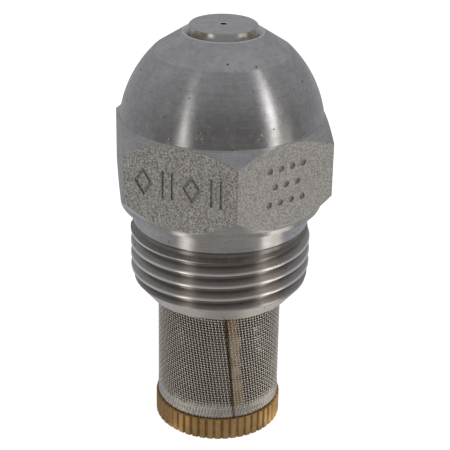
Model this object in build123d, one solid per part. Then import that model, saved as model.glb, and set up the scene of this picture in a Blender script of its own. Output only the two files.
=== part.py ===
from build123d import *
import os
from math import copysign, cos, degrees, radians, sin, tan

# Oil burner nozzle with its strainer, standing on the strainer's cap.
# Millimetres. Z is the spray axis, +Z the way the oil leaves.
# The origin is the middle of the cap's underside. One corner of the hexagon points along -Y.

# ---------------------------------------------------------------- driving dimensions
INCH = 25.4

# outer thread, 9/16"-24 UNEF: it screws into the nozzle adapter
ADAPTER_THREAD_R = 9 / 16 * INCH / 2
ADAPTER_PITCH = INCH / 24

# inner thread, 3/8"-24 UNF: it holds the retainer screw and the strainer
INNER_THREAD_R = 3 / 8 * INCH / 2
INNER_PITCH = INCH / 24

THREAD_DEPTH = 0.613          # of the pitch, crest to root
THREAD_FLAT = 1 / 8           # of the pitch, at the crest
THREAD_GAP = 0.07             # between the flanks and over the crests of the inner threads
THREAD_START = 37             # degrees round from +X, where every thread passes its lowest point
CUTTER_OVERRUN = 0.05         # how far a thread cutter stands out of the blank

# nozzle body
BODY_BOTTOM = 11.47
BODY_TOP = 33.054
COLLAR_SEAT_R = 5.08          # a shallow recess in the lower end, for the strainer's collar
COLLAR_SEAT_DEPTH = 0.3
SEAT_CONE_BOTTOM_R = 5.81     # the cone that seals in the adapter
SEAT_CONE_TOP_R = 6.94
SEAT_CONE_TOP = 12.83
LEAD_IN_TOP = 13.67
THREAD_BOTTOM = 12.65         # middle of the outer thread's groove where it starts
THREAD_RUN_OUT = 0.3          # how far it goes on into the relief
RELIEF_BOTTOM = 16.98
RELIEF_TOP = 17.77
RELIEF_R = 6.75
RELIEF_SLOPE = 0.25           # height of each of its sloping sides
SHANK_R = 6.95
SHOULDER_R = 7.92             # of the step under the hexagon
SHOULDER_BOTTOM = 19.32
SHOULDER_TOP = 19.66          # from here the hexagon's corners slope out
HEX_ACROSS_FLATS = 5 / 8 * INCH
HEX_CORNER_CUT_R = 9.145      # the corners are turned to this radius
HEX_CORNER_BOTTOM = 21.12
HEX_CORNER_TOP = 25.38
DOME_BOTTOM_R = 7.886
DOME_BOTTOM = 26.47
DOME_BULGE = 0.466            # of the dome's arc over its chord
NOSE_R = 5.31                 # where the dome meets the cone round the orifice disc
NOSE_BOTTOM = 31.57
NOSE_TOP_R = 3.07             # the lip of the hole in which the orifice disc stands
LIP_DEPTH = 0.3               # of the bevel from the lip down to the disc

# punch marks on two flats
MARK_DEPTH = 0.09
MARK_STROKE = 0.17
MARK_WIDTH = 1.5
MARK_HEIGHT = 2.2
MARK_SPACING = 1.95
DOT_R = 0.24
DOT_SPACING = 1.05
DOT_ROWS = ((1.35, 4), (0, 3), (-1.35, 4))     # height above the flat's middle, and dots in the row

# orifice disc, a turned plug that stands out of the body's top
DISC_R = 2.628
DISC_TOP = 33.564
DISC_EDGE = 0.07
FLANGE_R = 3.6
FLANGE_BOTTOM = 29.8
FLANGE_TOP = 30.98
SEAT_R = 2.1                  # of the conical seat at the flange's underside
SEAT_HALF_ANGLE = 30
SWIRL_R = 0.42
ORIFICE_R = 0.125
ORIFICE_LENGTH = 0.36
ORIFICE_SINK_R = 0.32

# fits inside the body
RUNNING_GAP = 0.03
FACE_GAP = 0.05
FLANGE_SEAT_GAP = 0.02

# distributor
DISTRIBUTOR_R = 3.5
DISTRIBUTOR_BOTTOM = 23.05
DISTRIBUTOR_TIP_R = 0.75
SWIRL_SLOTS = 4
SWIRL_SLOT = 0.36             # width and depth
OIL_GROOVES = 4
OIL_GROOVE_R = 0.6
CROSS_SLOT = 1.2              # width, and twice the depth

# retainer screw
RETAINER_BOTTOM = 20.0
RETAINER_TOP = 23.0
RETAINER_HOLE_R = 1.3
DRIVER_SLOT_WIDTH = 1.1
DRIVER_SLOT_DEPTH = 1.0

# strainer core: threaded neck, collar and drilled stem
NECK_TOP = 16.75
NECK_CHAMFER = 0.45
COLLAR_TOP = BODY_BOTTOM + COLLAR_SEAT_DEPTH - FACE_GAP
COLLAR_BOTTOM = 9.7
CORE_BORE_R = 1.6
CORE_BORE_BOTTOM = 4.2
STEM_R = 2.9
STEM_HOLE_R = 0.75
STEM_HOLE_LEVELS = (5.4, 7.4, 9.4)
SPIGOT_R = 1.9
SPIGOT_BOTTOM = 0.35

# strainer mesh, its seam and its solder
MESH_R = 4.968
MESH_THICKNESS = 0.2
MESH_BOTTOM = 1.87
MESH_TOP = BODY_BOTTOM - FACE_GAP
SEAM_WIDTH = 1.05
SEAM_PROUD = 0.06
SEAM_TOP_ANGLE = 4.8          # of the seam's middle, round from -Y towards +X
SEAM_BOTTOM_ANGLE = 14.0
SOLDER_BOTTOM = 10.75
SOLDER_PROUD = 0.03

# end cap
CAP_R = 5.134
CAP_TOP = 1.83
CAP_BOTTOM_EDGE = 0.04
CAP_TOP_EDGE = 0.08
LAND_TOP = 3.2
KNURL_RIBS = 50
KNURL_START = 0.5             # degrees round from +X, where the first groove is
KNURL_MOUTH = 0.28            # width of a groove at the rim
KNURL_ROOT = 0.08             # and at its bottom
KNURL_DEPTH = 0.16
FIT_GAP = 0.01                # between pieces of the strainer that are pressed or soldered together


# ---------------------------------------------------------------- helpers
def turned(points):
    """A solid of revolution about Z from (radius, height) points."""
    outline = make_face(Polyline([(r, 0, z) for r, z in points], close=True))
    return revolve(outline, Axis.Z)


def helix_sweep(points, pitch, bottom, top):
    """A right-handed ridge or groove: a section of (radius, height) points, its middle at height 0,
    carried round Z from bottom to top."""
    radius = sum(r for r, _ in points) / len(points)
    path = Helix(pitch, top - bottom, radius, center=(0, 0, bottom))
    start = path @ 0
    section = Polyline([(r, 0, start.Z + z) for r, z in points], close=True)
    return Rot(0, 0, THREAD_START) * sweep(make_face(section), path=path, is_frenet=True)


def thread_groove(crest_r, root_r, crest_width, pitch, bottom, top):
    """The cutter of a 60 degree thread, from the crests' radius in or out to the roots'."""
    overrun = copysign(CUTTER_OVERRUN, crest_r - root_r)
    slope = tan(radians(30))
    half_mouth = (pitch - crest_width) / 2
    half_root = half_mouth - abs(crest_r - root_r) * slope
    half_out = half_mouth + CUTTER_OVERRUN * slope
    outer = crest_r + overrun
    points = [(outer, -half_out), (outer, half_out), (root_r, half_root), (root_r, -half_root)]
    return helix_sweep(points, pitch, bottom, top)


def cone_height(radius, half_angle):
    """How far a cone rises while its radius shrinks from radius to nothing."""
    return radius / tan(radians(half_angle))


def on_flat(turn):
    """The plane of a hexagon flat: its Y is up, its X runs round to the right, its Z points out."""
    angle = radians(-90 + turn)
    out = Vector(cos(angle), sin(angle), 0)
    right = Vector(-sin(angle), cos(angle), 0)
    middle = (HEX_CORNER_BOTTOM + HEX_CORNER_TOP) / 2
    return Plane(out * (HEX_ACROSS_FLATS / 2) + Vector(0, 0, middle), x_dir=right, z_dir=out)


# ---------------------------------------------------------------- inner thread, shared by three pieces
INNER_MINOR_R = INNER_THREAD_R - THREAD_DEPTH * INNER_PITCH
INNER_THREAD_START = BODY_BOTTOM - INNER_PITCH
INNER_THREAD_TOP = RETAINER_TOP + THREAD_RUN_OUT


def male_inner_thread(blank, bottom, top):
    """A blank cut with the ridge that runs in the body's inner thread. Its grooves lie half a pitch
    from the body's, so that ridge and groove stay in step at any height."""
    slope = tan(radians(30))
    body_root_width = INNER_PITCH * (1 - THREAD_FLAT) - 2 * (INNER_THREAD_R - INNER_MINOR_R) * slope
    crest_width = body_root_width + 2 * THREAD_GAP * (slope - 1 / cos(radians(30)))
    crest_r, root_r = INNER_THREAD_R - THREAD_GAP, INNER_MINOR_R - THREAD_GAP
    turns = round((bottom - INNER_THREAD_START) / INNER_PITCH) - 1
    start = INNER_THREAD_START + (turns - 0.5) * INNER_PITCH
    end = top + INNER_PITCH
    rod_length = end - start + 2 * INNER_PITCH
    rod = Pos(0, 0, (start + end) / 2) * Cylinder(crest_r, rod_length)
    return (rod - thread_groove(crest_r, root_r, crest_width, INNER_PITCH, start, end)) & blank


# ---------------------------------------------------------------- nozzle body
ADAPTER_ROOT_R = ADAPTER_THREAD_R - THREAD_DEPTH * ADAPTER_PITCH


def body_outside():
    """The turned outside, with the hexagon cut on it."""
    below = Polyline([(r, 0, z) for r, z in [
        (0, BODY_BOTTOM),
        (SEAT_CONE_BOTTOM_R, BODY_BOTTOM),
        (SEAT_CONE_TOP_R, SEAT_CONE_TOP),
        (ADAPTER_THREAD_R, LEAD_IN_TOP),
        (ADAPTER_THREAD_R, RELIEF_BOTTOM),
        (RELIEF_R, RELIEF_BOTTOM + RELIEF_SLOPE),
        (RELIEF_R, RELIEF_TOP - RELIEF_SLOPE),
        (SHANK_R, RELIEF_TOP),
        (SHANK_R, SHOULDER_BOTTOM),
        (SHOULDER_R, SHOULDER_BOTTOM),
        (SHOULDER_R, SHOULDER_TOP),
        (HEX_CORNER_CUT_R, HEX_CORNER_BOTTOM),
        (HEX_CORNER_CUT_R, HEX_CORNER_TOP),
        (DOME_BOTTOM_R, DOME_BOTTOM),
    ]])
    rise, run = NOSE_BOTTOM - DOME_BOTTOM, DOME_BOTTOM_R - NOSE_R
    chord = (rise**2 + run**2) ** 0.5
    middle_r = (DOME_BOTTOM_R + NOSE_R) / 2 + DOME_BULGE * rise / chord
    middle_z = (DOME_BOTTOM + NOSE_BOTTOM) / 2 + DOME_BULGE * run / chord
    dome = ThreePointArc((DOME_BOTTOM_R, 0, DOME_BOTTOM), (middle_r, 0, middle_z), (NOSE_R, 0, NOSE_BOTTOM))
    above = Polyline([(r, 0, z) for r, z in [
        (NOSE_R, NOSE_BOTTOM),
        (NOSE_TOP_R, BODY_TOP),
        (DISC_R + RUNNING_GAP, BODY_TOP - LIP_DEPTH),
        (0, BODY_TOP - LIP_DEPTH),
        (0, BODY_BOTTOM),
    ]])
    blank = revolve(make_face(below + dome + above), Axis.Z)
    hexagon = RegularPolygon(HEX_ACROSS_FLATS / 3**0.5, 6, rotation=30)
    below_hexagon = extrude(Circle(HEX_ACROSS_FLATS / 2), SHOULDER_TOP)
    return blank & (below_hexagon + Pos(0, 0, SHOULDER_TOP) * extrude(hexagon, BODY_TOP))


def body_bore():
    """The room for the disc, the distributor, the retainer screw and the strainer's neck."""
    seat = FLANGE_TOP + FLANGE_SEAT_GAP
    return turned([
        (0, BODY_BOTTOM - 1),
        (COLLAR_SEAT_R, BODY_BOTTOM - 1),
        (COLLAR_SEAT_R, BODY_BOTTOM + COLLAR_SEAT_DEPTH),
        (INNER_MINOR_R, BODY_BOTTOM + COLLAR_SEAT_DEPTH),
        (INNER_MINOR_R, INNER_THREAD_TOP),
        (FLANGE_R + RUNNING_GAP, INNER_THREAD_TOP),
        (FLANGE_R + RUNNING_GAP, seat),
        (DISC_R + RUNNING_GAP, seat),
        (DISC_R + RUNNING_GAP, BODY_TOP + 1),
        (0, BODY_TOP + 1),
    ])


def flat_marks():
    """Plain punch marks on the two flats either side of the front corner: strokes and dots."""
    bar = Rectangle(MARK_STROKE, MARK_HEIGHT)
    pair = Pos(-MARK_WIDTH / 4, 0) * bar + Pos(MARK_WIDTH / 4, 0) * bar
    across, up = MARK_WIDTH / 2, MARK_HEIGHT / 2
    diamond = Polygon((across, 0), (0, up), (-across, 0), (0, -up), align=None)
    inside = 1 - 3 * MARK_STROKE / MARK_WIDTH
    lozenge = diamond - scale(diamond, inside)
    row = [lozenge, pair, lozenge, pair]
    middle = (len(row) - 1) / 2
    strokes = Sketch() + [Pos(MARK_SPACING * (n - middle), 0) * mark for n, mark in enumerate(row)]
    dots = [
        Pos(DOT_SPACING * (n - (count - 1) / 2), y) * Circle(DOT_R)
        for y, count in DOT_ROWS for n in range(count)]
    left = extrude(on_flat(-30) * strokes, -MARK_DEPTH)
    right = extrude(on_flat(30) * (Sketch() + dots), -MARK_DEPTH)
    return left + right


def nozzle_body():
    outer_thread = thread_groove(
        ADAPTER_THREAD_R, ADAPTER_ROOT_R, THREAD_FLAT * ADAPTER_PITCH, ADAPTER_PITCH,
        THREAD_BOTTOM, RELIEF_BOTTOM + THREAD_RUN_OUT)
    inner_thread = thread_groove(
        INNER_MINOR_R, INNER_THREAD_R, THREAD_FLAT * INNER_PITCH, INNER_PITCH,
        INNER_THREAD_START, INNER_THREAD_TOP + THREAD_RUN_OUT)
    body = body_outside() - body_bore()
    body = body - outer_thread
    body = body - inner_thread
    return body - flat_marks()


# ---------------------------------------------------------------- pieces inside the body
def orifice_disc():
    seat_top = FLANGE_BOTTOM + cone_height(SEAT_R - SWIRL_R, SEAT_HALF_ANGLE)
    orifice_bottom = DISC_TOP - ORIFICE_LENGTH
    sink = ORIFICE_SINK_R - ORIFICE_R
    return turned([
        (SEAT_R, FLANGE_BOTTOM),
        (FLANGE_R, FLANGE_BOTTOM),
        (FLANGE_R, FLANGE_TOP),
        (DISC_R, FLANGE_TOP),
        (DISC_R, DISC_TOP - DISC_EDGE),
        (DISC_R - DISC_EDGE, DISC_TOP),
        (ORIFICE_SINK_R, DISC_TOP),
        (ORIFICE_R, DISC_TOP - sink),
        (ORIFICE_R, orifice_bottom),
        (SWIRL_R, orifice_bottom - (SWIRL_R - ORIFICE_R)),
        (SWIRL_R, seat_top),
    ])


def distributor():
    """A plug with a conical end. Slots across the cone, off its axis, set the oil turning."""
    gap = FACE_GAP / sin(radians(SEAT_HALF_ANGLE))
    cone_bottom = FLANGE_BOTTOM - FACE_GAP
    cone_r = SEAT_R - (cone_bottom + gap - FLANGE_BOTTOM) * tan(radians(SEAT_HALF_ANGLE))
    tip = cone_bottom + cone_height(cone_r - DISTRIBUTOR_TIP_R, SEAT_HALF_ANGLE)
    plug = turned([
        (0, DISTRIBUTOR_BOTTOM),
        (DISTRIBUTOR_R, DISTRIBUTOR_BOTTOM),
        (DISTRIBUTOR_R, cone_bottom),
        (cone_r, cone_bottom),
        (DISTRIBUTOR_TIP_R, tip),
        (0, tip),
    ])
    length = DISTRIBUTOR_R + 1
    slot = Box(length, SWIRL_SLOT, 2 * SWIRL_SLOT, align=(Align.MIN, Align.MIN, Align.CENTER))
    tilt = 90 - SEAT_HALF_ANGLE
    slope_start = Pos(DISTRIBUTOR_TIP_R, DISTRIBUTOR_TIP_R - SWIRL_SLOT, tip)
    slots = PolarLocations(0, SWIRL_SLOTS) * (slope_start * Rot(0, tilt, 0) * slot)
    groove = Cylinder(OIL_GROOVE_R, tip, align=(Align.CENTER, Align.CENTER, Align.MIN))
    grooves = PolarLocations(DISTRIBUTOR_R, OIL_GROOVES, 45) * groove
    cross = Box(2 * length, CROSS_SLOT, CROSS_SLOT) + Box(CROSS_SLOT, 2 * length, CROSS_SLOT)
    return plug - slots - grooves - Pos(0, 0, DISTRIBUTOR_BOTTOM) * Rot(0, 0, 45) * cross


def retainer_screw():
    crest_r = INNER_THREAD_R - THREAD_GAP
    blank = turned([
        (RETAINER_HOLE_R, RETAINER_BOTTOM),
        (crest_r - NECK_CHAMFER, RETAINER_BOTTOM),
        (crest_r, RETAINER_BOTTOM + NECK_CHAMFER),
        (crest_r, RETAINER_TOP - NECK_CHAMFER),
        (crest_r - NECK_CHAMFER, RETAINER_TOP),
        (RETAINER_HOLE_R, RETAINER_TOP),
    ])
    slot = Pos(0, 0, RETAINER_BOTTOM) * Box(3 * INNER_THREAD_R, DRIVER_SLOT_WIDTH, 2 * DRIVER_SLOT_DEPTH)
    return male_inner_thread(blank, RETAINER_BOTTOM, RETAINER_TOP) - slot


# ---------------------------------------------------------------- strainer
def strainer_core():
    crest_r = INNER_THREAD_R - THREAD_GAP
    collar_r = MESH_R - MESH_THICKNESS - FIT_GAP
    neck = turned([
        (CORE_BORE_R, COLLAR_TOP),
        (crest_r, COLLAR_TOP),
        (crest_r, NECK_TOP - NECK_CHAMFER),
        (crest_r - NECK_CHAMFER, NECK_TOP),
        (CORE_BORE_R, NECK_TOP),
    ])
    neck = male_inner_thread(neck, COLLAR_TOP, NECK_TOP)
    stem = turned([
        (0, SPIGOT_BOTTOM),
        (SPIGOT_R, SPIGOT_BOTTOM),
        (SPIGOT_R, LAND_TOP + FIT_GAP),
        (STEM_R, LAND_TOP + FIT_GAP),
        (STEM_R, COLLAR_BOTTOM),
        (collar_r, COLLAR_BOTTOM),
        (collar_r, COLLAR_TOP),
        (CORE_BORE_R, COLLAR_TOP),
        (CORE_BORE_R, CORE_BORE_BOTTOM),
        (0, CORE_BORE_BOTTOM),
    ])
    for n, level in enumerate(STEM_HOLE_LEVELS):
        stem -= Pos(0, 0, level) * Rot(0, 90, 90 * n) * Cylinder(STEM_HOLE_R, 3 * STEM_R)
    return stem + neck


def strainer_mesh():
    """The rolled wire cloth as a plain tube."""
    inner = MESH_R - MESH_THICKNESS
    return turned([(inner, MESH_BOTTOM), (MESH_R, MESH_BOTTOM), (MESH_R, MESH_TOP), (inner, MESH_TOP)])


def arc_band(inner, outer, middle_angle, width, height):
    """A flat piece of a ring at a height, its middle round from -Y towards +X by middle_angle."""
    half = degrees(width / (2 * outer))
    low, high = radians(-90 + middle_angle - half), radians(-90 + middle_angle + half)
    middle = (low + high) / 2

    def at(radius, angle):
        return (radius * cos(angle), radius * sin(angle), height)

    edges = ThreePointArc(at(outer, low), at(outer, middle), at(outer, high))
    edges += Line(at(outer, high), at(inner, high))
    edges += ThreePointArc(at(inner, high), at(inner, middle), at(inner, low))
    edges += Line(at(inner, low), at(outer, low))
    return make_face(edges)


def seam_braze():
    """The filler along the overlap of the wire cloth. It runs down at a slight slant."""
    outer = MESH_R + SEAM_PROUD
    inner = MESH_R - MESH_THICKNESS / 2
    low = arc_band(inner, outer, SEAM_BOTTOM_ANGLE, SEAM_WIDTH, MESH_BOTTOM)
    high = arc_band(inner, outer, SEAM_TOP_ANGLE, SEAM_WIDTH, SOLDER_BOTTOM - FIT_GAP)
    cloth = Cylinder(MESH_R + FIT_GAP / 2, 3 * COLLAR_TOP)
    return loft([low, high], ruled=True) - cloth


def solder_band():
    """The ring of solder that closes the cloth over the collar."""
    inner = MESH_R + FIT_GAP / 2
    outer = MESH_R + SOLDER_PROUD
    return turned([(inner, SOLDER_BOTTOM), (outer, SOLDER_BOTTOM), (outer, MESH_TOP), (inner, MESH_TOP)])


def end_cap():
    """The knurled cap, with the land that carries the lower end of the cloth."""
    land_r = MESH_R - MESH_THICKNESS - FIT_GAP
    groove = Polygon(
        (-KNURL_DEPTH, -KNURL_ROOT / 2), (0, -KNURL_MOUTH / 2), (KNURL_DEPTH, -KNURL_MOUTH / 2),
        (KNURL_DEPTH, KNURL_MOUTH / 2), (0, KNURL_MOUTH / 2), (-KNURL_DEPTH, KNURL_ROOT / 2), align=None)
    knurl = Circle(CAP_R) - PolarLocations(CAP_R, KNURL_RIBS, KNURL_START) * groove
    bore_r = SPIGOT_R + FIT_GAP
    limit = turned([
        (bore_r, 0),
        (CAP_R - CAP_BOTTOM_EDGE, 0),
        (CAP_R, CAP_BOTTOM_EDGE),
        (CAP_R, CAP_TOP - CAP_TOP_EDGE),
        (CAP_R - CAP_TOP_EDGE, CAP_TOP),
        (bore_r, CAP_TOP),
    ])
    land = turned([(bore_r, CAP_TOP), (land_r, CAP_TOP), (land_r, LAND_TOP), (bore_r, LAND_TOP)])
    return extrude(knurl, CAP_TOP) & limit + land


# ---------------------------------------------------------------- files
PIECES = {
    "nozzle_body": nozzle_body,
    "orifice_disc": orifice_disc,
    "distributor": distributor,
    "retainer_screw": retainer_screw,
    "strainer_core": strainer_core,
    "strainer_mesh": strainer_mesh,
    "seam_braze": seam_braze,
    "solder_band": solder_band,
    "end_cap": end_cap,
}

os.makedirs("parts", exist_ok=True)
for name, make in PIECES.items():
    export_step(make(), f"parts/{name}.step")
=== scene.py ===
from math import cos, pi, radians, sin

import bpy
import numpy as np
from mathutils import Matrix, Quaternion, Vector


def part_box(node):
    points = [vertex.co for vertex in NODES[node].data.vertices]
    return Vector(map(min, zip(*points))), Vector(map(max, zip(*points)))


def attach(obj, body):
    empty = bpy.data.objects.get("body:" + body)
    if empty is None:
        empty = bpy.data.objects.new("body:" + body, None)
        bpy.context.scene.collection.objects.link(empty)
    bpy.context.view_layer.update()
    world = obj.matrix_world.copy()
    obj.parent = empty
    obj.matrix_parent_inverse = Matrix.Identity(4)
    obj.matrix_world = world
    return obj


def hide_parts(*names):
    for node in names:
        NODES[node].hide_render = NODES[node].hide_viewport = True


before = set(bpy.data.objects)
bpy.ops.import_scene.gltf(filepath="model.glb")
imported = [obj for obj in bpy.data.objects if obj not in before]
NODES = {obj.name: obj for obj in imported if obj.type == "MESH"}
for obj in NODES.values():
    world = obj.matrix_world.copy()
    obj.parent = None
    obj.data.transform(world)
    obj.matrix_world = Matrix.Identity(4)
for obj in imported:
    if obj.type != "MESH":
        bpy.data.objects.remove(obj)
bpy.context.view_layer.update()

MM = 0.001
CLOTH_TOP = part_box("strainer_mesh")[1].z / MM
CLOTH_R = 4.968               # over the wires' crowns
SEAM_LOW, SEAM_HIGH = 1.87, 10.74
SEAM_BOTTOM, SEAM_TOP = radians(14.0), radians(4.8)     # the seam's middle there, round from -Y towards +X


def seam_angle(z):
    """The seam's middle at a height, round from -Y towards +X."""
    return SEAM_BOTTOM + (SEAM_TOP - SEAM_BOTTOM) * (z - SEAM_LOW) / (SEAM_HIGH - SEAM_LOW)


# ---------------------------------------------------------------- camera
CAMERA_AZIMUTH = radians(-7.53)
CAMERA_ELEVATION = radians(23.76)
CAMERA_ROLL = radians(0.93)
CAMERA_DISTANCE = 111.15 * MM
CAMERA_AIM = Vector((0, 0, 20 * MM))
CAMERA_LENS = 112.66
CAMERA_SHIFT = (0.0091, -0.0805)


def add_camera():
    data = bpy.data.cameras.new("camera")
    data.lens = CAMERA_LENS
    data.sensor_width = 36
    data.shift_x, data.shift_y = CAMERA_SHIFT
    data.clip_start = 5 * MM
    camera = bpy.data.objects.new("camera", data)
    bpy.context.scene.collection.objects.link(camera)
    level = cos(CAMERA_ELEVATION)
    back = Vector((sin(CAMERA_AZIMUTH) * level, -cos(CAMERA_AZIMUTH) * level, sin(CAMERA_ELEVATION)))
    camera.location = CAMERA_AIM + back * CAMERA_DISTANCE
    turn = back.to_track_quat("Z", "Y") @ Quaternion((0, 0, 1), CAMERA_ROLL)
    camera.rotation_euler = turn.to_euler()
    bpy.context.scene.camera = camera


# ---------------------------------------------------------------- light
SOFTBOX_DISTANCE = 0.6
LEFT_LIGHT, RIGHT_LIGHT = -42, 60       # degrees round from the camera
ROOM_FRONT = (0.06, 0.058, 0.056, 1)
ROOM_BACK = (0.38, 0.385, 0.405, 1)
ROOM_SEEN = (0.95, 0.95, 0.95, 1)       # to the camera, behind the floor's far edge
ROOM_RISE = 2.6               # upward counts this much more than backward in brightening the room
ROOM_DARK, ROOM_BRIGHT = -0.6, 1.9      # where backward plus upward gives ROOM_FRONT and ROOM_BACK
TABLE_FRONT = (0.34, 0.323, 0.306, 1)
TABLE_BACK = (0.46, 0.47, 0.49, 1)
SHINE = (1.2, 1.14, 1.04, 1)            # of the table where it mirrors a softbox
LEFT_SHINE, RIGHT_SHINE = (LEFT_LIGHT, 5.0), (RIGHT_LIGHT + 7, 11.0)    # each one's middle and half width
SHINE_SOFTNESS = 6.0          # also in degrees


def add_softbox(name, azimuth, elevation, width, height, brightness):
    """An area light that faces the object. Azimuth 0 is the camera's side, and it grows to the right.
    Brightness is the radiance of its face."""
    data = bpy.data.lights.new(name, "AREA")
    data.shape = "RECTANGLE"
    data.size = width
    data.size_y = height
    data.energy = brightness * pi * width * height
    light = bpy.data.objects.new(name, data)
    bpy.context.scene.collection.objects.link(light)
    around, up = radians(azimuth) + CAMERA_AZIMUTH, radians(elevation)
    way = Vector((sin(around) * cos(up), -cos(around) * cos(up), sin(up)))
    light.location = CAMERA_AIM + way * SOFTBOX_DISTANCE
    light.rotation_euler = way.to_track_quat("Z", "Y").to_euler()


def add_world():
    """A pale room. To the metal it is bright above and behind the object, and dark in front."""
    world = bpy.data.worlds.new("studio")
    bpy.context.scene.world = world
    world.use_nodes = True
    tree = world.node_tree
    background = tree.nodes["Background"]
    coordinates = tree.nodes.new("ShaderNodeTexCoord")
    apart = tree.nodes.new("ShaderNodeSeparateXYZ")
    share = tree.nodes.new("ShaderNodeMapRange")
    share.interpolation_type = "SMOOTHSTEP"
    share.inputs["From Min"].default_value = ROOM_DARK
    share.inputs["From Max"].default_value = ROOM_BRIGHT
    rise = tree.nodes.new("ShaderNodeMath")
    rise.operation = "MULTIPLY_ADD"
    rise.inputs[1].default_value = ROOM_RISE
    mix = tree.nodes.new("ShaderNodeMix")
    mix.data_type = "RGBA"
    mix.inputs["A"].default_value = ROOM_FRONT
    mix.inputs["B"].default_value = ROOM_BACK
    tree.links.new(coordinates.outputs["Generated"], apart.inputs[0])
    tree.links.new(apart.outputs["Z"], rise.inputs[0])
    tree.links.new(apart.outputs["Y"], rise.inputs[2])
    tree.links.new(rise.outputs[0], share.inputs["Value"])
    tree.links.new(share.outputs["Result"], mix.inputs["Factor"])
    path = tree.nodes.new("ShaderNodeLightPath")
    seen = tree.nodes.new("ShaderNodeMix")
    seen.data_type = "RGBA"
    seen.inputs["B"].default_value = ROOM_SEEN
    tree.links.new(path.outputs["Is Camera Ray"], seen.inputs["Factor"])
    tree.links.new(mix.outputs["Result"], seen.inputs["A"])
    tree.links.new(seen.outputs["Result"], background.inputs["Color"])


# ---------------------------------------------------------------- node building
class Tree:
    """A material's node tree, with short calls for the nodes used here. Lengths in it are millimetres."""

    def __init__(self, name):
        self.material = bpy.data.materials.new(name)
        self.material.use_nodes = True
        self.tree = self.material.node_tree
        self.tree.nodes.clear()
        self.output = self.node("ShaderNodeOutputMaterial")

    def node(self, kind, **settings):
        made = self.tree.nodes.new(kind)
        for key, value in settings.items():
            setattr(made, key, value)
        return made

    def put(self, value, socket):
        if isinstance(value, bpy.types.NodeSocket):
            self.tree.links.new(value, socket)
        elif value is not None:
            socket.default_value = value

    def math(self, operation, a, b=None, clamp=False):
        made = self.node("ShaderNodeMath", operation=operation, use_clamp=clamp)
        self.put(a, made.inputs[0])
        self.put(b, made.inputs[1])
        return made.outputs[0]

    def add(self, a, b):
        return self.math("ADD", a, b)

    def times(self, a, b):
        return self.math("MULTIPLY", a, b)

    def step(self, value, low, high):
        """0 below low, 1 above high, smooth between. low may be the larger."""
        made = self.node("ShaderNodeMapRange", interpolation_type="SMOOTHSTEP")
        self.put(value, made.inputs["Value"])
        flip = low > high
        made.inputs["From Min"].default_value = min(low, high)
        made.inputs["From Max"].default_value = max(low, high)
        made.inputs["To Min"].default_value = 1 if flip else 0
        made.inputs["To Max"].default_value = 0 if flip else 1
        return made.outputs["Result"]

    def between(self, value, low, high, soft):
        """1 between low and high, falling to 0 over soft outside them."""
        return self.times(self.step(value, low - soft, low), self.step(value, high + soft, high))

    def position(self):
        """The point on the piece in millimetres, and its X, Y and Z."""
        coordinates = self.node("ShaderNodeTexCoord")
        scaled = self.node("ShaderNodeVectorMath", operation="SCALE")
        self.put(coordinates.outputs["Object"], scaled.inputs[0])
        scaled.inputs["Scale"].default_value = 1 / MM
        apart = self.node("ShaderNodeSeparateXYZ")
        self.put(scaled.outputs[0], apart.inputs[0])
        return scaled.outputs[0], apart.outputs[0], apart.outputs[1], apart.outputs[2]

    def radius(self, x, y):
        return self.math("SQRT", self.add(self.times(x, x), self.times(y, y)))

    def normal_z(self):
        coordinates = self.node("ShaderNodeTexCoord")
        apart = self.node("ShaderNodeSeparateXYZ")
        self.put(coordinates.outputs["Normal"], apart.inputs[0])
        return apart.outputs[2]

    def vector(self, x, y, z):
        made = self.node("ShaderNodeCombineXYZ")
        for value, socket in zip((x, y, z), made.inputs):
            self.put(value, socket)
        return made.outputs[0]

    def noise(self, vector, scale, detail=2.0, roughness=0.5):
        made = self.node("ShaderNodeTexNoise")
        self.put(vector, made.inputs["Vector"])
        made.inputs["Scale"].default_value = scale
        made.inputs["Detail"].default_value = detail
        made.inputs["Roughness"].default_value = roughness
        return made.outputs["Fac"]

    def cells(self, vector, scale, randomness=1.0):
        """The distance to the nearest of scattered points, 0 at each point."""
        made = self.node("ShaderNodeTexVoronoi")
        self.put(vector, made.inputs["Vector"])
        made.inputs["Scale"].default_value = scale
        made.inputs["Randomness"].default_value = randomness
        return made.outputs["Distance"]

    def blend(self, share, a, b):
        """Colour a where share is 0 and colour b where it is 1."""
        made = self.node("ShaderNodeMix", data_type="RGBA")
        self.put(share, made.inputs["Factor"])
        self.put(a, made.inputs["A"])
        self.put(b, made.inputs["B"])
        return made.outputs["Result"]

    def rounded(self, radius):
        """Normals that turn the edges' corners over a radius in millimetres."""
        made = self.node("ShaderNodeBevel", samples=4)
        made.inputs["Radius"].default_value = radius * MM
        return made.outputs["Normal"]

    def bump(self, height, depth, normal=None):
        """Height from 0 to 1 stands for depth in millimetres."""
        made = self.node("ShaderNodeBump")
        made.inputs["Distance"].default_value = depth * MM
        self.put(height, made.inputs["Height"])
        self.put(normal, made.inputs["Normal"])
        return made.outputs["Normal"]

    def shader(self, color, roughness, normal=None, anisotropic=0.0, metallic=1.0):
        made = self.node("ShaderNodeBsdfPrincipled")
        self.put(color, made.inputs["Base Color"])
        self.put(roughness, made.inputs["Roughness"])
        made.inputs["Metallic"].default_value = metallic
        self.put(normal, made.inputs["Normal"])
        if anisotropic:
            made.inputs["Anisotropic"].default_value = anisotropic
            made.inputs["Anisotropic Rotation"].default_value = 0.25
            tangent = self.node("ShaderNodeTangent", direction_type="RADIAL", axis="Z")
            self.put(tangent.outputs[0], made.inputs["Tangent"])
        return made.outputs[0]

    def mix(self, share, a, b):
        made = self.node("ShaderNodeMixShader")
        self.put(share, made.inputs[0])
        self.put(a, made.inputs[1])
        self.put(b, made.inputs[2])
        return made.outputs[0]

    def finish(self, shader):
        self.put(shader, self.output.inputs["Surface"])
        return self.material


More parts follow.
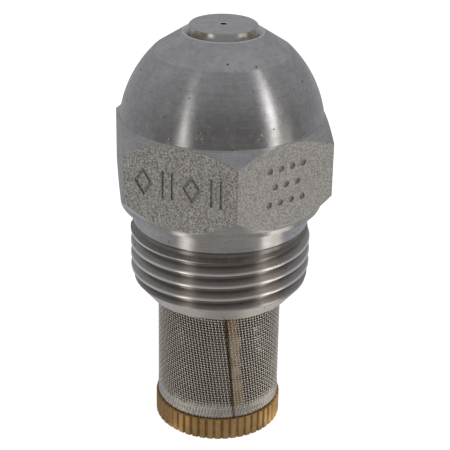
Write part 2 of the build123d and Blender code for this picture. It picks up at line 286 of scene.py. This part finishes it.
def turning_lines(t, x, y, z, radius, fineness):
    """Lathe marks: noise that runs round Z and changes quickly along the outline."""
    along = t.times(t.math("SUBTRACT", z, radius), fineness)
    round_x = t.times(t.math("DIVIDE", x, radius), 2.5)
    round_y = t.times(t.math("DIVIDE", y, radius), 2.5)
    return t.noise(t.vector(along, round_x, round_y), 1.0, detail=3.0, roughness=0.65)


# ---------------------------------------------------------------- materials
HEX_FLAT = 15.875 / 2         # from the axis
HEX_BOTTOM, HEX_TOP = 19.66, 26.44
HEX_INSIDE_R = 7.82           # just inside the flats
THREAD_BOTTOM, THREAD_TOP = 12.83, 16.98
THREAD_ROOT_R, THREAD_CREST_R = 6.60, 7.09
RELIEF_TOP = 17.77
NOSE_BOTTOM = 31.57
LIP_INNER_R, LIP_OUTER_R = 2.60, 3.12
HOLE_R = 0.30                 # of the spray hole's sunk mouth
LAND_TOP = 3.3                # where the solder over the cap's land ends
KNURL_ROOT_R = 5.0


def body_steel():
    """Turned stainless steel, and blasted on the hexagon's flats."""
    t = Tree("body_steel")
    point, x, y, z = t.position()
    radius = t.radius(x, y)
    lines = turning_lines(t, x, y, z, radius, 9.0)
    wide_lines = turning_lines(t, x, y, z, radius, 1.3)
    cloud = t.noise(point, 0.45, detail=4.0)
    angle = t.math("ARCTAN2", y, x)

    # the turned skin, with lathe marks and scratches, and darker low on the dome
    steel = t.blend(t.step(cloud, 0.35, 0.7), (0.56, 0.545, 0.54, 1), (0.64, 0.63, 0.63, 1))
    steel = t.blend(t.times(t.step(lines, 0.50, 0.72), 0.40), steel, (0.36, 0.34, 0.33, 1))
    steel = t.blend(t.times(t.step(lines, 0.44, 0.30), 0.35), steel, (0.80, 0.79, 0.78, 1))
    scratches = t.step(t.noise(t.vector(t.times(angle, 70.0), t.times(z, 1.1), 0.0), 1.0), 0.60, 0.72)
    scratches = t.times(scratches, t.between(z, 27.2, 30.6, 0.8))
    steel = t.blend(t.times(scratches, 0.30), steel, (0.34, 0.32, 0.31, 1))
    low_dome = t.times(t.step(z, 29.8, 27.0), t.step(z, HEX_TOP - 0.02, HEX_TOP + 0.03))
    steel = t.blend(t.times(low_dome, 0.5), steel, (0.33, 0.32, 0.325, 1))

    # the dull cones at the nose and at the lower end, and mottling on all of it
    on_nose = t.step(z, NOSE_BOTTOM - 0.05, NOSE_BOTTOM)
    smooth = t.blend(t.step(cloud, 0.4, 0.65), (0.58, 0.57, 0.57, 1), (0.66, 0.65, 0.66, 1))
    on_seat = t.step(z, THREAD_BOTTOM + 0.03, THREAD_BOTTOM - 0.03)
    dull = t.add(on_nose, on_seat)
    steel = t.blend(dull, steel, smooth)
    steel = t.blend(on_seat, steel, (0.68, 0.665, 0.64, 1))
    mottle = t.noise(point, 2.4, detail=6.0, roughness=0.72)
    steel = t.blend(t.times(t.step(mottle, 0.50, 0.68), 0.30), steel, (0.86, 0.86, 0.88, 1))
    steel = t.blend(t.times(t.step(mottle, 0.48, 0.34), 0.36), steel, (0.34, 0.325, 0.32, 1))
    # painted highlight: the lip round the disc is lightened
    lip_highlight = t.times(t.between(radius, LIP_INNER_R, LIP_OUTER_R, 0.04), on_nose)
    steel = t.blend(lip_highlight, steel, (0.90, 0.89, 0.90, 1))

    # the thread darkened by painted shade, most at its roots, with painted highlights on its crests, and
    # painted shade in the groove above it
    in_thread = t.between(z, THREAD_BOTTOM, THREAD_TOP, 0.1)
    # painted shade: darker and browner all through the thread, and darker still at its roots
    steel = t.blend(t.times(in_thread, 0.6), steel, (0.44, 0.40, 0.37, 1))
    root_shade = t.times(in_thread, t.step(radius, THREAD_ROOT_R + 0.25, THREAD_ROOT_R))
    steel = t.blend(t.times(root_shade, 0.45), steel, (0.26, 0.22, 0.19, 1))
    # painted highlight along the thread's crests
    crest_highlight = t.times(in_thread, t.step(radius, THREAD_CREST_R - 0.06, THREAD_CREST_R))
    steel = t.blend(crest_highlight, steel, (0.92, 0.91, 0.89, 1))
    # painted shade in the relief groove above the thread, with turned stripes
    round_relief = t.vector(t.times(angle, 130.0), t.times(z, 1.2), 0.0)
    striped = t.step(t.noise(round_relief, 1.0, detail=3.0, roughness=0.6), 0.3, 0.7)
    in_relief = t.between(z, THREAD_TOP, RELIEF_TOP - 0.1, 0.08)
    groove_shade = t.blend(striped, (0.27, 0.25, 0.235, 1), (0.40, 0.375, 0.36, 1))
    steel = t.blend(in_relief, steel, groove_shade)

    # dark specks and pale dents
    specks = t.times(t.step(t.cells(point, 1.1), 0.13, 0.07), t.step(cloud, 0.46, 0.54))
    steel = t.blend(specks, steel, (0.16, 0.14, 0.13, 1))
    dents = t.times(t.step(t.cells(point, 1.9), 0.13, 0.05), t.step(cloud, 0.52, 0.44))
    steel = t.blend(t.times(dents, 0.5), steel, (0.90, 0.90, 0.91, 1))

    height = t.add(t.times(lines, 0.6), t.times(wide_lines, 0.4))
    height = t.times(height, t.math("SUBTRACT", 1.0, t.times(dull, 0.8)))
    turned_rough = t.add(t.add(t.times(lines, 0.10), t.times(mottle, 0.16)), 0.20)
    marks = t.add(specks, t.times(dents, 0.6))
    normal = t.bump(t.math("SUBTRACT", height, marks), 0.014, t.rounded(0.05))
    brushed = t.shader(steel, turned_rough, normal, anisotropic=0.95)
    turned = t.mix(dull, brushed, t.shader(steel, 0.44, normal))

    # the blasted flats, smoother on the right, with painted shade inside their marks
    grain = t.noise(point, 7.0, detail=5.0, roughness=0.72)
    pits = t.step(t.cells(point, 3.6), 0.30, 0.12)
    patches = t.noise(point, 0.8, detail=3.0)
    flat = t.blend(t.step(grain, 0.43, 0.57), (0.27, 0.255, 0.245, 1), (0.58, 0.57, 0.56, 1))
    flat = t.blend(t.times(t.step(patches, 0.45, 0.7), 0.2), flat, (0.38, 0.36, 0.35, 1))
    flat = t.blend(t.times(pits, 0.6), flat, (0.22, 0.20, 0.19, 1))
    flat = t.blend(t.times(t.step(x, -0.1, 0.1), 0.35), flat, (0.46, 0.445, 0.435, 1))
    sixth = t.times(t.math("ROUND", t.times(angle, 3 / pi)), pi / 3)
    plane = t.times(radius, t.math("COSINE", t.math("SUBTRACT", angle, sixth)))
    # painted shade inside the stamped marks
    mark_shade = t.step(plane, HEX_FLAT - 0.02, HEX_FLAT - 0.06)
    flat = t.blend(t.times(mark_shade, 0.55), flat, (0.20, 0.185, 0.175, 1))
    relief = t.math("SUBTRACT", grain, t.times(pits, 0.5))
    blasted = t.shader(flat, 0.46, t.bump(relief, 0.040, t.rounded(0.12)))

    level = t.step(t.math("ABSOLUTE", t.normal_z()), 0.30, 0.15)
    outside = t.step(radius, HEX_INSIDE_R - 0.02, HEX_INSIDE_R + 0.02)
    on_hexagon = t.times(t.between(z, HEX_BOTTOM, HEX_TOP, 0.05), outside)
    return t.finish(t.mix(t.times(level, on_hexagon), turned, blasted))


def disc_steel():
    """The disc's and the distributor's: turned faces, painted shade in brown patches on the walls, and
    painted shade in the hole at the axis, ringed by a painted highlight.
    """
    t = Tree("disc_steel")
    point, x, y, z = t.position()
    radius = t.radius(x, y)
    lines = turning_lines(t, x, y, z, radius, 9.0)
    cloud = t.noise(point, 1.2, detail=4.0)
    steel = t.blend(t.step(cloud, 0.35, 0.7), (0.56, 0.555, 0.56, 1), (0.64, 0.635, 0.63, 1))
    stain = t.step(t.noise(point, 2.6, detail=3.0), 0.56, 0.70)
    steel = t.blend(t.times(stain, 0.4), steel, (0.38, 0.35, 0.33, 1))
    # painted shade on the walls, in brown patches
    wall = t.step(t.math("ABSOLUTE", t.normal_z()), 0.4, 0.2)
    brown_wall_shade = t.step(t.noise(point, 0.9, detail=4.0), 0.45, 0.60)
    steel = t.blend(wall, steel, t.blend(brown_wall_shade, (0.56, 0.55, 0.54, 1), (0.36, 0.30, 0.24, 1)))
    # painted highlight: a pale ring round the hole's mouth
    steel = t.blend(t.step(radius, HOLE_R + 0.06, HOLE_R + 0.03), steel, (0.92, 0.92, 0.92, 1))
    # painted shade filling the spray hole
    steel = t.blend(t.step(radius, HOLE_R, HOLE_R - 0.04), steel, (0.02, 0.018, 0.015, 1))
    roughness = t.add(t.times(lines, 0.08), 0.20)
    return t.finish(t.shader(steel, roughness, t.bump(lines, 0.004, t.rounded(0.04)), anisotropic=0.3))


def from_seam(t, x, y, z):
    """How far round a point is from the seam's middle, in millimetres."""
    angle = t.math("ARCTAN2", x, t.times(y, -1.0))
    middle = t.add(t.times(z, seam_angle(1) - seam_angle(0)), seam_angle(0))
    return t.times(t.math("SUBTRACT", angle, middle), CLOTH_R)


def seam_shadow(t, across, fine):
    """1 along the dark line at the seam's left edge."""
    return t.between(t.add(across, t.times(fine, 0.12)), -0.54, -0.34, 0.05)


def wire_steel():
    """Bright on the wires' crowns, with painted shade on their lower parts between them, and tanned along the
    seam. The inner layer is bright too."""
    t = Tree("wire_steel")
    point, x, y, z = t.position()
    radius = t.radius(x, y)
    cloud = t.noise(point, 0.6, detail=4.0)
    fine = t.noise(point, 9.0, detail=2.0)
    steel = t.blend(t.step(cloud, 0.35, 0.7), (0.92, 0.87, 0.79, 1), (0.99, 0.96, 0.89, 1))
    steel = t.blend(t.times(t.step(fine, 0.5, 0.75), 0.3), steel, (0.48, 0.42, 0.35, 1))
    across = from_seam(t, x, y, z)
    tanned = t.between(t.add(across, t.times(fine, 0.15)), -0.45, 0.5, 0.1)
    steel = t.blend(t.times(tanned, 0.42), steel, (0.50, 0.38, 0.25, 1))
    steel = t.blend(t.times(seam_shadow(t, across, fine), 0.9), steel, (0.10, 0.06, 0.03, 1))
    # painted shade on the wires' lower parts, between the crowns
    deep_shade = t.step(radius, CLOTH_R - 0.015, CLOTH_R - 0.095)
    steel = t.blend(deep_shade, steel, (0.19, 0.15, 0.105, 1))
    inner_r = CLOTH_R - OVERLAP_DEPTH
    inner_layer = t.between(radius, inner_r - 0.095, inner_r - 0.010, 0.02)
    steel = t.blend(inner_layer, steel, (0.88, 0.86, 0.82, 1))
    return t.finish(t.shader(steel, 0.46, t.bump(fine, 0.004)))


def solder_grey():
    """Dull grey, with painted shade where it sinks between the wires over the cap's land."""
    t = Tree("solder_grey")
    point, x, y, z = t.position()
    cloud = t.noise(point, 1.0, detail=4.0)
    fine = t.noise(point, 7.0, detail=4.0)
    metal = t.blend(t.step(cloud, 0.35, 0.7), (0.60, 0.57, 0.53, 1), (0.70, 0.68, 0.64, 1))
    metal = t.blend(t.times(t.step(fine, 0.46, 0.68), 0.6), metal, (0.34, 0.30, 0.26, 1))
    on_land = t.step(z, LAND_TOP + 0.2, LAND_TOP)
    # painted shade where the solder sinks between the wires
    shade_between_wires = t.times(on_land, t.step(t.radius(x, y), CLOTH_R - 0.02, CLOTH_R - 0.05))
    metal = t.blend(t.times(shade_between_wires, 0.6), metal, (0.30, 0.26, 0.21, 1))
    shadow = t.times(seam_shadow(t, from_seam(t, x, y, z), fine), on_land)
    metal = t.blend(t.times(shadow, 0.6), metal, (0.14, 0.10, 0.06, 1))
    return t.finish(t.shader(metal, 0.58, t.bump(fine, 0.012)))


def braze_tan():
    """The seam's filler, rusty at its upper left, with a dark left edge."""
    t = Tree("braze_tan")
    point, x, y, z = t.position()
    cloud = t.noise(point, 1.1, detail=4.0)
    fine = t.noise(point, 6.0, detail=5.0, roughness=0.7)
    metal = t.blend(t.step(cloud, 0.40, 0.60), (0.34, 0.235, 0.135, 1), (0.50, 0.42, 0.32, 1))
    metal = t.blend(t.times(t.step(fine, 0.5, 0.66), 0.7), metal, (0.17, 0.11, 0.06, 1))
    across = from_seam(t, x, y, z)
    rust = t.times(t.step(z, 7.5, 10.0), t.step(t.add(across, t.times(cloud, 0.5)), 0.25, 0.0))
    metal = t.blend(t.times(rust, 0.6), metal, (0.20, 0.095, 0.035, 1))
    metal = t.blend(t.times(seam_shadow(t, across, fine), 0.9), metal, (0.10, 0.06, 0.03, 1))
    return t.finish(t.shader(metal, 0.50, t.bump(fine, 0.02), metallic=0.85))


def plain_brass():
    """The retainer screw's turned brass."""
    t = Tree("plain_brass")
    point, x, y, z = t.position()
    lines = turning_lines(t, x, y, z, t.radius(x, y), 5.0)
    cloud = t.noise(point, 0.7, detail=4.0)
    metal = t.blend(t.step(cloud, 0.35, 0.7), (0.50, 0.34, 0.14, 1), (0.62, 0.45, 0.22, 1))
    metal = t.blend(t.times(t.step(lines, 0.6, 0.8), 0.4), metal, (0.30, 0.19, 0.07, 1))
    return t.finish(t.shader(metal, 0.34, t.bump(lines, 0.008), anisotropic=0.4))


def shaded_stem_brass():
    """The strainer's stem, darkened with painted shade behind the cloth, and its neck in unshaded brass
    inside the body.
    """
    t = Tree("shaded_stem_brass")
    point, x, y, z = t.position()
    lines = turning_lines(t, x, y, z, t.radius(x, y), 5.0)
    cloud = t.noise(point, 0.7, detail=4.0)
    # painted shade: the stem behind the cloth is nearly black
    metal = t.blend(t.step(cloud, 0.35, 0.7), (0.055, 0.036, 0.018, 1), (0.10, 0.068, 0.035, 1))
    unshaded_brass = t.blend(t.step(cloud, 0.35, 0.7), (0.50, 0.34, 0.15, 1), (0.62, 0.45, 0.23, 1))
    metal = t.blend(t.step(z, CLOTH_TOP - 0.1, CLOTH_TOP + 0.1), metal, unshaded_brass)
    metal = t.blend(t.times(t.step(lines, 0.6, 0.8), 0.4), metal, (0.04, 0.026, 0.012, 1))
    return t.finish(t.shader(metal, 0.42, t.bump(lines, 0.008)))


def cap_brass():
    """Dull brass, with painted shade on its left side and in the knurl's grooves."""
    t = Tree("cap_brass")
    point, x, y, z = t.position()
    cloud = t.noise(point, 0.8, detail=4.0)
    fine = t.noise(point, 7.0, detail=4.0, roughness=0.65)
    metal = t.blend(t.step(cloud, 0.35, 0.7), (0.565, 0.36, 0.155, 1), (0.68, 0.475, 0.235, 1))
    # painted shade: darker towards the left side
    metal = t.blend(t.times(t.step(x, -1.0, -4.0), 0.55), metal, (0.36, 0.215, 0.095, 1))
    metal = t.blend(t.times(t.step(fine, 0.5, 0.75), 0.4), metal, (0.38, 0.215, 0.09, 1))
    uneven = t.noise(point, 1.3, detail=3.0)
    # painted shade in the knurl's grooves, uneven in amount
    in_groove = t.step(t.radius(x, y), KNURL_ROOT_R + 0.1, KNURL_ROOT_R)
    knurl_shade = t.add(t.times(t.step(uneven, 0.35, 0.65), 0.40), 0.10)
    metal = t.blend(t.times(in_groove, knurl_shade), metal, (0.28, 0.17, 0.07, 1))
    return t.finish(t.shader(metal, 0.64, t.bump(fine, 0.012, t.rounded(0.05))))


def floor_white():
    """A pale floor. In the metal's reflections it is a table, darker in front of the object. From below it
    isn't there, so that the object's underside shows."""
    t = Tree("floor_white")
    point, x, y, z = t.position()
    cloud = t.noise(point, 0.02, detail=2.0)
    pale = t.blend(cloud, (0.80, 0.80, 0.80, 1), (0.82, 0.82, 0.82, 1))
    lit = t.node("ShaderNodeBsdfPrincipled")
    t.put(pale, lit.inputs["Base Color"])
    lit.inputs["Roughness"].default_value = 0.9
    lit.inputs["Emission Color"].default_value = (1, 1, 1, 1)
    lit.inputs["Emission Strength"].default_value = 0.85
    table = t.node("ShaderNodeEmission")
    round_z = t.math("ARCTAN2", x, t.times(y, -1.0))
    colour = t.blend(t.step(y, -35.0, 15.0), TABLE_FRONT, TABLE_BACK)
    for azimuth, half in (LEFT_SHINE, RIGHT_SHINE):
        middle = radians(azimuth) + CAMERA_AZIMUTH
        soft = radians(SHINE_SOFTNESS)
        shine = t.between(round_z, middle - radians(half), middle + radians(half), soft)
        colour = t.blend(shine, colour, SHINE)
    t.put(colour, table.inputs["Color"])
    path = t.node("ShaderNodeLightPath")
    above = t.mix(path.outputs["Is Glossy Ray"], lit.outputs[0], table.outputs[0])
    below = t.node("ShaderNodeBsdfTransparent")
    side = t.node("ShaderNodeNewGeometry")
    return t.finish(t.mix(side.outputs["Backfacing"], above, below.outputs[0]))


# ---------------------------------------------------------------- wire cloth
WIRE_R = 0.052
CRIMP = 0.055                 # how far each wire swings in and out
UPRIGHTS = 118
UPRIGHT_TURN = 0.0261         # radians round from -Y towards +X in each millimetre down
RING_PITCH = 0.2177
LAND_TURN = 0.054             # radians the other way in each millimetre down, in the solder below
RING_STARTS = 6               # the cross wires drop this many pitches in one turn
RING_TIGHTNESS = 1 / RING_PITCH - RING_STARTS * UPRIGHT_TURN / (2 * pi)
CLOTH_BOTTOM = 1.90
SIDES = 6
OVERLAP_BOTTOM, OVERLAP_TOP = 3.45, 9.65      # of the inner layer, between the cap's land and the collar
OVERLAP_LEFT, OVERLAP_RIGHT = -0.42, 0.08     # radians from the seam's middle
OVERLAP_DEPTH = 0.205         # how far the inner layer lies inside the outer one
OVERLAP_SHIFT = 0.5           # how far it is moved round and down, in wire spacings
SHORTEST_WIRE = 4             # points

SOLDER_BACK_R = 4.78
SOLDER_SINKS = 0.15           # below the crowns, where it thins out
COLLAR_SOLDER_HEIGHT = 0.8
SEAM_HALF_WIDTH = 0.525
FILLER_TOP_R = CLOTH_R - 0.066
FILLER_BACK_R = CLOTH_R - 0.19


def on_cloth(angle, radius, z):
    """Points from angles round from -Y towards +X, in millimetres."""
    return np.stack([radius * np.sin(angle), -radius * np.cos(angle), z + 0 * angle], axis=-1)


def place(upright, ring):
    """The angle and height of a point of the weave. Whole numbers are on the wires."""
    down = (ring + RING_STARTS * upright / UPRIGHTS) / RING_TIGHTNESS
    return 2 * pi * upright / UPRIGHTS + UPRIGHT_TURN * down, CLOTH_TOP - down


def weave(angle, z):
    """From -1 to 1: how far the wires at a place stand out of the cloth."""
    down = CLOTH_TOP - z
    across = np.cos(UPRIGHTS * (angle - UPRIGHT_TURN * down))
    level = np.cos(2 * pi * down / RING_PITCH - RING_STARTS * angle)
    return (across + level) / 2


def tube(path, side_way, radius):
    """Vertices and faces of a round wire with closed ends. path and side_way are (points, 3)."""
    along = np.gradient(path, axis=0)
    along /= np.linalg.norm(along, axis=1, keepdims=True)
    out = np.cross(along, side_way)
    out /= np.linalg.norm(out, axis=1, keepdims=True)
    side = np.cross(out, along)
    turn = 2 * pi * (np.arange(SIDES) + 0.5) / SIDES
    ring = (side[:, None] * np.cos(turn)[:, None] + out[:, None] * np.sin(turn)[:, None]) * radius
    points = (path[:, None] + ring).reshape(-1, 3)
    count = len(path)
    faces = sheet_faces(count, SIDES, True).tolist()
    faces.append(list(range(SIDES))[::-1])
    faces.append([(count - 1) * SIDES + n for n in range(SIDES)])
    return points, faces


def sheet_faces(rows, columns, closed):
    """Quads of a grid of points, row after row. closed joins each row's end to its start."""
    across = columns if closed else columns - 1
    row, column = np.meshgrid(np.arange(rows - 1), np.arange(across), indexing="ij")
    after = (column + 1) % columns
    start = row * columns
    quads = np.stack([start + column, start + after, start + columns + after, start + columns + column], -1)
    return quads.reshape(-1, 4)


def add_piece(name, points, faces, material, body):
    """A smooth mesh piece from points in millimetres, riding on a body."""
    mesh = bpy.data.meshes.new(name)
    mesh.from_pydata((points * MM).tolist(), [], [list(face) for face in faces])
    mesh.validate()
    mesh.polygons.foreach_set("use_smooth", [True] * len(mesh.polygons))
    mesh.materials.append(material)
    piece = bpy.data.objects.new(name, mesh)
    bpy.context.scene.collection.objects.link(piece)
    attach(piece, body)
    return piece


def add_bundle(name, wires, material):
    """One piece from many wires, each with its own points and faces."""
    points, faces, start = [], [], 0
    for wire_points, wire_faces in filter(None, wires):
        points.append(wire_points)
        faces.extend([start + index for index in face] for face in wire_faces)
        start += len(wire_points)
    return add_piece(name, np.concatenate(points), faces, material, "strainer")


def wire(upright, ring, side, side_way, overlap=False):
    """A wire through points of the weave. side is 1 for an upright and -1 for a cross wire. overlap gives
    the inner layer's."""
    angle, z = place(upright, ring)
    inside = (z > CLOTH_BOTTOM + WIRE_R) & (z < CLOTH_TOP - WIRE_R)
    middle = CLOTH_R - WIRE_R - CRIMP
    if overlap:
        across = angle - seam_angle(z)
        inside = (z > OVERLAP_BOTTOM) & (z < OVERLAP_TOP) & (across > OVERLAP_LEFT) & (across < OVERLAP_RIGHT)
        middle -= OVERLAP_DEPTH
    if inside.sum() < SHORTEST_WIRE:
        return None
    angle, z = angle[inside], z[inside]
    swing = side * np.cos(pi * (upright + ring))[inside]
    path = on_cloth(angle, middle + CRIMP * swing, z)
    return tube(path, side_way(angle), WIRE_R)


def around(angle):
    """The level way round the cloth."""
    return on_cloth(angle + pi / 2, 1, 0)


def upward(angle):
    """Straight up, at each of the angles."""
    return on_cloth(0 * angle, 0, 1)


def add_wires(material):
    """Plain woven wire cloth. Its two kinds of wire lie on a slant, as the cloth is wrapped askew."""
    rings = int((CLOTH_TOP - CLOTH_BOTTOM) / RING_PITCH) + RING_STARTS + 1
    halves_down = np.arange(-RING_STARTS, rings, 0.5)
    uprights = [wire(number + 0 * halves_down, halves_down, 1, around) for number in range(UPRIGHTS)]
    seam = UPRIGHTS * (SEAM_TOP + SEAM_BOTTOM) / (4 * pi)
    halves = seam + np.arange(0, UPRIGHTS + 0.5, 0.5)
    crossing = [wire(halves, number + 0 * halves, -1, upward) for number in range(-RING_STARTS - 1, rings)]
    standing = add_bundle("upright_wires", uprights, material)
    add_bundle("cross_wires", crossing, material)
    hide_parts("strainer_mesh")

    # the inner layer where the cloth laps over itself, among the uprights beside the seam
    near = np.arange(-UPRIGHTS // 8, UPRIGHTS // 12)
    doubled = []
    for number in near + OVERLAP_SHIFT:
        doubled.append(wire(number + 0 * halves_down, halves_down, 1, around, overlap=True))
    beside = np.arange(near[0], near[-1], 0.5) + OVERLAP_SHIFT
    for number in range(-RING_STARTS - 1, rings):
        doubled.append(wire(beside, number + OVERLAP_SHIFT + 0 * beside, -1, upward, overlap=True))
    add_bundle("overlap_wires", doubled, material)


def add_ring(name, low, high, outer, inner, material):
    """A closed ring whose outside is outer(angle, z), and whose inside is a plain cylinder."""
    columns, rows = 6 * UPRIGHTS, 20
    z = np.linspace(low, high, rows)[:, None]
    angle = np.linspace(0, 2 * pi, columns, endpoint=False)[None]
    outside = on_cloth(angle, outer(angle, z), z + 0 * angle)
    bottom = on_cloth(angle, inner + 0 * angle, low + 0 * angle)
    top = on_cloth(angle, inner + 0 * angle, high + 0 * angle)
    points = np.concatenate([bottom, outside, top, bottom])
    faces = sheet_faces(rows + 3, columns, True)
    last = (rows + 2) * columns
    faces = np.where(faces >= last, faces - last, faces)
    return add_piece(name, points[:-1].reshape(-1, 3), faces, material, "strainer")


def add_solder(material):
    """Solder over the collar and the land. Its edges wander, and it sinks between the wires there."""
    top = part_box("solder_band")[1].z / MM

    def upper(angle, z):
        uneven = 0.35 * np.sin(3 * angle + 1) + 0.25 * np.sin(7 * angle) + 0.15 * np.sin(13 * angle + 2)
        sunk = np.clip((top - 0.15 - z + 0.15 * uneven) / 0.4, 0, 1)
        return CLOTH_R - 0.02 - SOLDER_SINKS * sunk + 0.010 * weave(angle, z)

    def lower(angle, z):
        uneven = 0.1 * np.sin(5 * angle) + 0.07 * np.sin(17 * angle + 1)
        sunk = np.clip((z + uneven - 2.9) / 0.45, 0, 1)
        line = np.cos(UPRIGHTS * (angle - LAND_TURN * z))
        return CLOTH_R - 0.03 - SOLDER_SINKS * sunk * (1 - 0.3 * line) + 0.028 * line

    bottom = top - COLLAR_SOLDER_HEIGHT
    band = add_ring("solder_over_collar", bottom, top, upper, SOLDER_BACK_R, material)
    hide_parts("solder_band")
    add_ring("solder_over_land", CLOTH_BOTTOM, LAND_TOP, lower, SOLDER_BACK_R, material)


def add_seam(material):
    """The filler: a strip that follows the seam's slant, from which the wires' crowns stand out."""
    columns, rows = 25, 260
    half = SEAM_HALF_WIDTH / CLOTH_R
    z = np.linspace(CLOTH_BOTTOM + 0.02, CLOTH_TOP - 0.02, rows)[:, None]
    across = np.linspace(-1, 1, columns)[None]
    rough = np.random.default_rng(7)
    edge = 1 + 0.16 * np.convolve(rough.normal(size=rows + 8), np.ones(9) / 3, "valid")[:, None]
    angle = seam_angle(z) + across * half * edge
    edge_drop = 0.03 * np.clip((np.abs(across) - 0.7) / 0.3, 0, 1) ** 2
    lumps = rough.normal(size=(rows, columns)) * 0.006
    outer = FILLER_TOP_R + 0.014 * weave(angle, z) - edge_drop + lumps
    front = on_cloth(angle, outer, z + 0 * angle)
    back = on_cloth(angle, FILLER_BACK_R + 0 * angle, z + 0 * angle)
    points = np.concatenate([front, back[:, ::-1]], axis=1)
    faces = [list(face) for face in sheet_faces(rows, 2 * columns, True)]
    faces.append(list(range(2 * columns))[::-1])
    faces.append([(rows - 1) * 2 * columns + n for n in range(2 * columns)])
    strip = add_piece("seam_filler", points.reshape(-1, 3), faces, material, "strainer")
    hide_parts("seam_braze")


# ---------------------------------------------------------------- floor
FLOOR_HALF = 400.0
FLOOR_Z = -0.01               # just clear of the cap's underside


def add_floor(material):
    sides = ((-1, -1), (1, -1), (1, 1), (-1, 1))
    corners = np.array([(x * FLOOR_HALF, y * FLOOR_HALF, FLOOR_Z) for x, y in sides])
    mesh = bpy.data.meshes.new("floor")
    mesh.from_pydata((corners * MM).tolist(), [], [(0, 1, 2, 3)])
    mesh.materials.append(material)
    floor = bpy.data.objects.new("floor", mesh)
    bpy.context.scene.collection.objects.link(floor)


def paint(node, material):
    NODES[node].material_slots[0].material = material


# ---------------------------------------------------------------- the scene
add_camera()
add_world()
add_softbox("left_softbox", LEFT_LIGHT, elevation=8, width=0.06, height=0.24, brightness=3.0)
add_softbox("right_softbox", RIGHT_LIGHT, elevation=20, width=0.09, height=0.36, brightness=3.7)
bpy.context.scene.view_settings.view_transform = "Standard"

brass = plain_brass()
inner_steel = disc_steel()
paint("nozzle_body", body_steel())
paint("orifice_disc", inner_steel)
paint("distributor", inner_steel)
paint("retainer_screw", brass)
paint("strainer_core", shaded_stem_brass())
paint("end_cap", cap_brass())
add_wires(wire_steel())
add_solder(solder_grey())
add_seam(braze_tan())
add_floor(floor_white())
